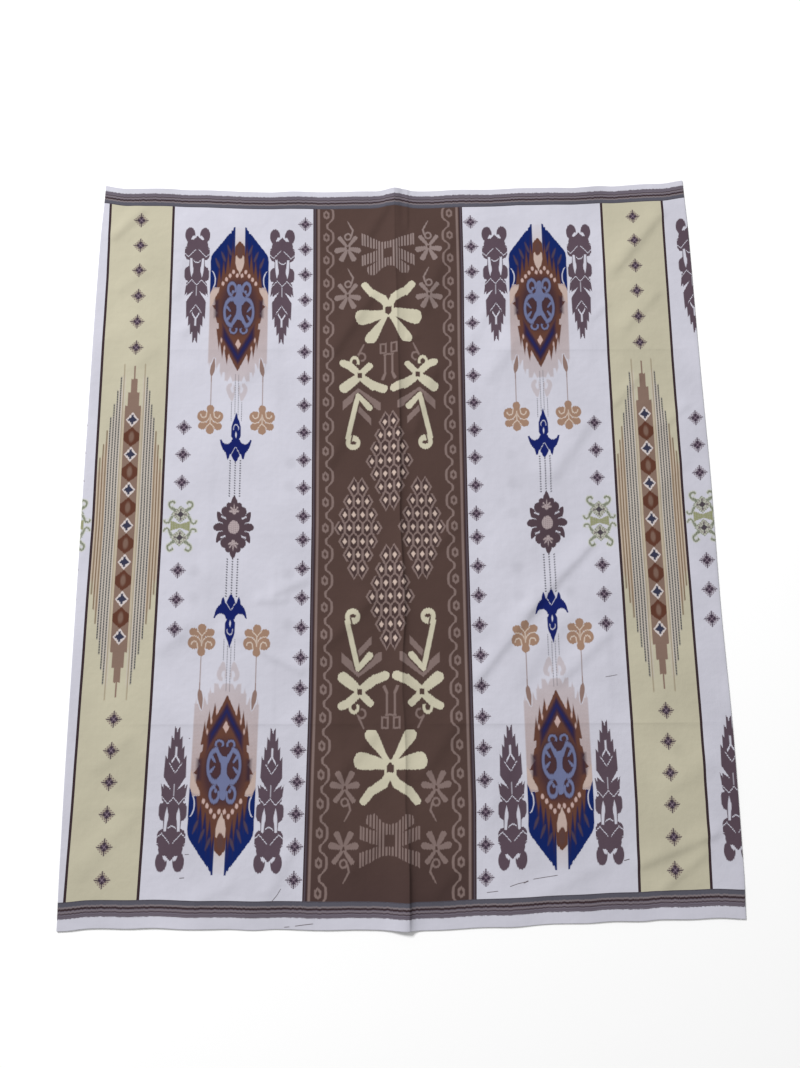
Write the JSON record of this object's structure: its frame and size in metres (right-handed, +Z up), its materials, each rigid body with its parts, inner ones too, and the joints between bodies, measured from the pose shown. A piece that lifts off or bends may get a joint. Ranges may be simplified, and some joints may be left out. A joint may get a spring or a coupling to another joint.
{
  "type": "batik sarong",
  "caption": "Patterned cotton tube sarong laid flat on a surface, front layer over back layer, folded at both sides and joined by a seam at the back.",
  "frame": {"origin": "under the middle of the bounding box, on the surface the sarong lies on", "axes": "+Z up from the surface, +Y along the cloth towards the top edge of the front, +X to the right of the front"},
  "size_m": [1.061, 1.2652, 0.0086],
  "materials": {
    "patterned_cotton_front": "plain woven cotton with a resist-dyed pattern, matt",
    "patterned_cotton_back": "plain woven cotton with a resist-dyed pattern, matt",
    "seam_cotton": "folded cotton seam allowance with machine stitching, matt"
  },
  "bodies": {
    "root": {"front_layer": "patterned_cotton_front", "back_layer_left": "patterned_cotton_back", "back_layer_right": "patterned_cotton_back", "joining_seam": "seam_cotton"}
  },
  "joints": []
}
